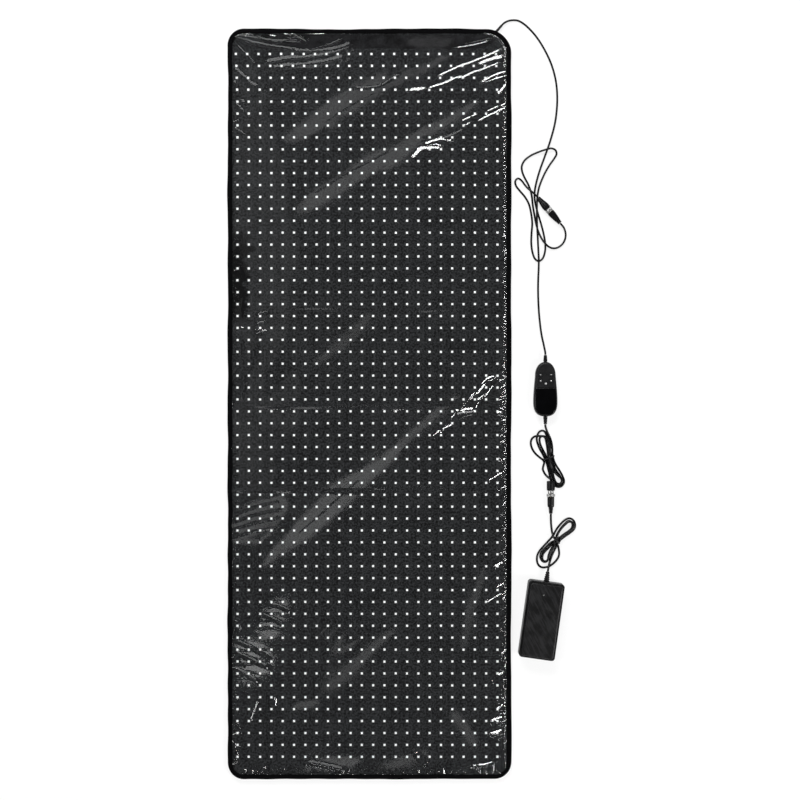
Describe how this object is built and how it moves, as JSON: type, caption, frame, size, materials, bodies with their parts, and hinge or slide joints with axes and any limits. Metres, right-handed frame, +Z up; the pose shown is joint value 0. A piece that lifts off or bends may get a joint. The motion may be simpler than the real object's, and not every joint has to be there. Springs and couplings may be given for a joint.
{
  "type": "light therapy mat",
  "caption": "Flat padded mat with rows of LEDs under a clear film, with a corded hand controller and a corded power supply.",
  "frame": {"origin": "middle of the mat's underside, on the surface that it lies on", "axes": "+Z up, +Y along the mat towards the end that its lead leaves, +X towards the controller and the power supply"},
  "size_m": [0.745, 1.622, 0.0383],
  "materials": {
    "backing_fabric": "matte",
    "foam_core": "matte",
    "led_board": "matte",
    "clear_film": "gloss",
    "edge_tape": "satin",
    "lead_jacket": "satin",
    "red_wire": "satin",
    "black_wire": "satin",
    "moulded_black": "satin",
    "tie_black": "satin",
    "plated_metal": "polished",
    "contact_brass": "satin",
    "controller_case": "satin",
    "controller_window": "gloss",
    "display": "satin",
    "button_grey": "satin",
    "circuit_board": "satin",
    "ferrite": "matte",
    "capacitor_sleeve": "gloss",
    "supply_case": "satin",
    "indicator_lens": "gloss"
  },
  "bodies": {
    "mat_head": {"head_backing": "backing_fabric", "head_foam": "foam_core", "head_led_board_1": "led_board", "head_led_board_2": "led_board", "head_led_board_3": "led_board", "head_led_board_4": "led_board", "head_film": "clear_film", "head_binding": "edge_tape", "bus_wire_positive": "red_wire", "bus_wire_negative": "black_wire", "lead_grommet": "moulded_black", "mat_lead": "lead_jacket", "mat_connector_socket": "moulded_black", "mat_connector_barrel": "plated_metal", "mat_connector_insert": "moulded_black", "mat_connector_contacts": "contact_brass", "mat_connector_plug": "moulded_black", "controller_lead": "lead_jacket", "controller_base": "controller_case", "controller_cover": "controller_case", "controller_window": "controller_window", "controller_board": "circuit_board", "controller_display": "display", "controller_top_boot": "moulded_black", "controller_foot_boot": "moulded_black", "upper_supply_lead": "lead_jacket", "upper_supply_hank": "lead_jacket", "upper_hank_tie": "tie_black", "supply_connector_socket": "moulded_black", "supply_connector_barrel": "plated_metal", "supply_connector_insert": "moulded_black"},
    "mat_foot": {"foot_backing": "backing_fabric", "foot_foam": "foam_core", "foot_led_board_1": "led_board", "foot_led_board_2": "led_board", "foot_led_board_3": "led_board", "foot_led_board_4": "led_board", "foot_film": "clear_film", "foot_binding": "edge_tape"},
    "mat_connector_coupling": {"mat_connector_nut": "plated_metal"},
    "supply": {"supply_connector_contacts": "contact_brass", "supply_connector_plug": "moulded_black", "lower_supply_lead": "lead_jacket", "lower_supply_hank": "lead_jacket", "lower_hank_tie": "tie_black", "supply_base": "supply_case", "supply_cover": "supply_case", "supply_board": "circuit_board", "supply_transformer": "ferrite", "supply_capacitor": "capacitor_sleeve", "supply_inlet": "moulded_black", "supply_inlet_blades": "contact_brass", "supply_strain_relief": "moulded_black", "supply_indicator": "indicator_lens"},
    "supply_connector_coupling": {"supply_connector_nut": "plated_metal"},
    "button_1": {"controller_button_1": "button_grey"},
    "button_2": {"controller_button_2": "button_grey"},
    "button_3": {"controller_button_3": "button_grey"},
    "button_4": {"controller_button_4": "button_grey"},
    "button_5": {"controller_button_5": "button_grey"}
  },
  "joints": [
    {"name": "mat_fold", "type": "hinge", "parent": "mat_head", "child": "mat_foot", "pos_m": [0, -0.003, 0.0127], "axis": [-1, 0, 0], "range_deg": [0, 178]},
    {"name": "mat_connector_nut_turn", "type": "hinge", "parent": "mat_head", "child": "mat_connector_coupling", "pos_m": [0.359, 0.44, 0.0096], "axis": [0.6561, -0.7547, 0], "continuous": true},
    {"name": "supply_unplug", "type": "slide", "parent": "mat_head", "child": "supply", "axis": [0, -1, 0], "range_m": [0, 0.03]},
    {"name": "supply_connector_nut_turn", "type": "hinge", "parent": "supply", "child": "supply_connector_coupling", "pos_m": [0.3865, -0.195, 0.0096], "axis": [0, -1, 0], "continuous": true},
    {"name": "button_1_press", "type": "slide", "parent": "mat_head", "child": "button_1", "axis": [0, 0, -1], "range_m": [0, 0.0006], "stiffness_N_per_m": 300, "springref_m": -0.001},
    {"name": "button_2_press", "type": "slide", "parent": "mat_head", "child": "button_2", "axis": [0, 0, -1], "range_m": [0, 0.0006], "stiffness_N_per_m": 300, "springref_m": -0.001},
    {"name": "button_3_press", "type": "slide", "parent": "mat_head", "child": "button_3", "axis": [0, 0, -1], "range_m": [0, 0.0006], "stiffness_N_per_m": 300, "springref_m": -0.001},
    {"name": "button_4_press", "type": "slide", "parent": "mat_head", "child": "button_4", "axis": [0, 0, -1], "range_m": [0, 0.0006], "stiffness_N_per_m": 300, "springref_m": -0.001},
    {"name": "button_5_press", "type": "slide", "parent": "mat_head", "child": "button_5", "axis": [0, 0, -1], "range_m": [0, 0.0006], "stiffness_N_per_m": 300, "springref_m": -0.001}
  ]
}
